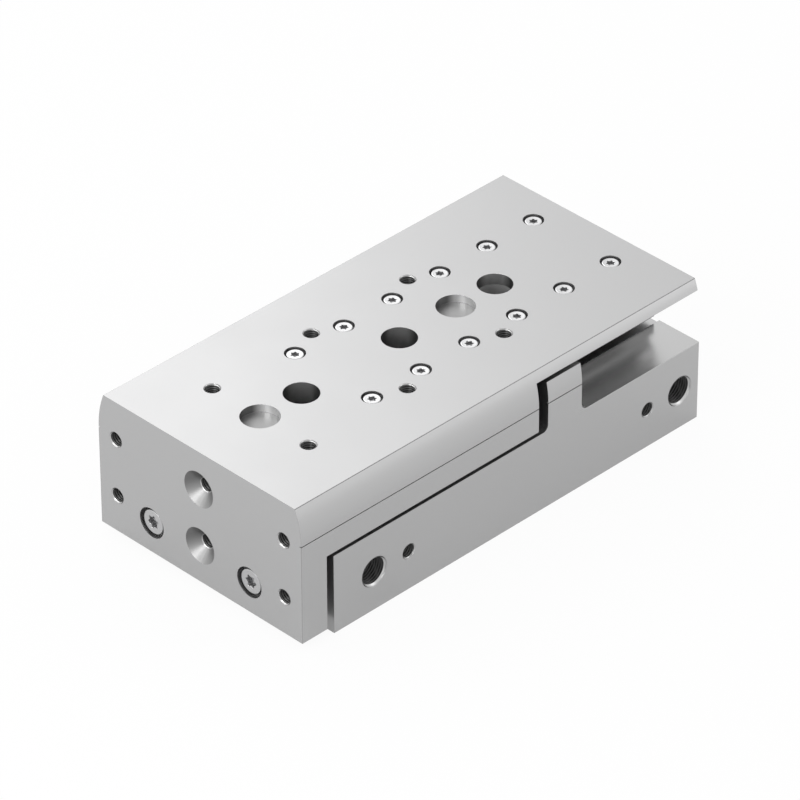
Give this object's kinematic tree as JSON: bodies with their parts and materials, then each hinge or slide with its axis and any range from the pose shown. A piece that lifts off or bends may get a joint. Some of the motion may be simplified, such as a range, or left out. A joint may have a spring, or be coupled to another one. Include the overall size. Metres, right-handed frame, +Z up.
{
  "type": "pneumatic slide table",
  "caption": "Twin-piston pneumatic slide table: a flat drilled table with a front yoke runs out of a port-fed aluminium cylinder housing on a ball guide.",
  "frame": {"origin": "on the underside, at the middle of the box round the retracted slide table", "axes": "+X the way the table runs out, along the longest side; +Y the side with the air ports; +Z up, out of the table's top"},
  "size_m": [0.1656, 0.0844, 0.0492],
  "materials": {
    "anodised_aluminium": "fine satin, clear anodised",
    "hardened_steel": "ground",
    "zinc_steel": "zinc plated",
    "spring_steel": "blued",
    "ball_steel": "polished",
    "rod_steel": "hard chromed",
    "piston_aluminium": "turned",
    "guide_bronze": "turned bronze",
    "magnet": "matt dark grey",
    "black_plastic": "fine matt",
    "cage_plastic": "natural, matt",
    "black_rubber": "smooth",
    "elastomer": "smooth polyurethane"
  },
  "bodies": {
    "housing": {"housing": "anodised_aluminium", "bar_screws": "zinc_steel", "bearing_bar_left": "hardened_steel", "bearing_bar_right": "hardened_steel", "bar_cap_front_left": "black_plastic", "bar_cap_front_right": "black_plastic", "bar_cap_rear_left": "black_plastic", "bar_cap_rear_right": "black_plastic", "bar_wiper_front_left": "black_rubber", "bar_wiper_front_right": "black_rubber", "bar_wiper_rear_left": "black_rubber", "bar_wiper_rear_right": "black_rubber", "rod_guide_left": "guide_bronze", "rod_guide_right": "guide_bronze", "rod_seal_left": "black_rubber", "rod_seal_right": "black_rubber", "rod_wiper_left": "black_rubber", "rod_wiper_right": "black_rubber", "front_ring_seal_left": "black_rubber", "front_ring_seal_right": "black_rubber", "front_clip_left": "spring_steel", "front_clip_right": "spring_steel", "front_bumper_left": "elastomer", "front_bumper_right": "elastomer", "end_plug_left": "anodised_aluminium", "end_plug_right": "anodised_aluminium", "rear_ring_seal_left": "black_rubber", "rear_ring_seal_right": "black_rubber", "rear_clip_left": "spring_steel", "rear_clip_right": "spring_steel", "rear_bumper_left": "elastomer", "rear_bumper_right": "elastomer"},
    "table": {"table": "anodised_aluminium", "guide_rail": "hardened_steel", "rail_screws": "zinc_steel", "yoke_screws": "zinc_steel", "piston_rod_left": "rod_steel", "piston_rod_right": "rod_steel", "piston_front_left": "piston_aluminium", "piston_front_right": "piston_aluminium", "piston_rear_left": "piston_aluminium", "piston_rear_right": "piston_aluminium", "piston_seals_left": "black_rubber", "piston_seals_right": "black_rubber", "guide_band_left": "cage_plastic", "guide_band_right": "cage_plastic", "piston_magnet_left": "magnet", "piston_magnet_right": "magnet", "piston_nut_left": "zinc_steel", "piston_nut_right": "zinc_steel"},
    "ball_cage_left": {"ball_cage_left": "cage_plastic", "balls_left": "ball_steel"},
    "ball_cage_right": {"ball_cage_right": "cage_plastic", "balls_right": "ball_steel"}
  },
  "joints": [
    {"name": "table_slide", "type": "slide", "parent": "housing", "child": "table", "axis": [1, 0, 0], "range_m": [0, 0.08]},
    {"name": "cage_left_slide", "type": "slide", "parent": "housing", "child": "ball_cage_left", "axis": [1, 0, 0], "range_m": [0, 0.04]},
    {"name": "cage_right_slide", "type": "slide", "parent": "housing", "child": "ball_cage_right", "axis": [1, 0, 0], "range_m": [0, 0.04]}
  ],
  "couplings": [
    {"joint": "cage_left_slide", "follows": "table_slide", "ratio": 0.5},
    {"joint": "cage_right_slide", "follows": "table_slide", "ratio": 0.5}
  ]
}
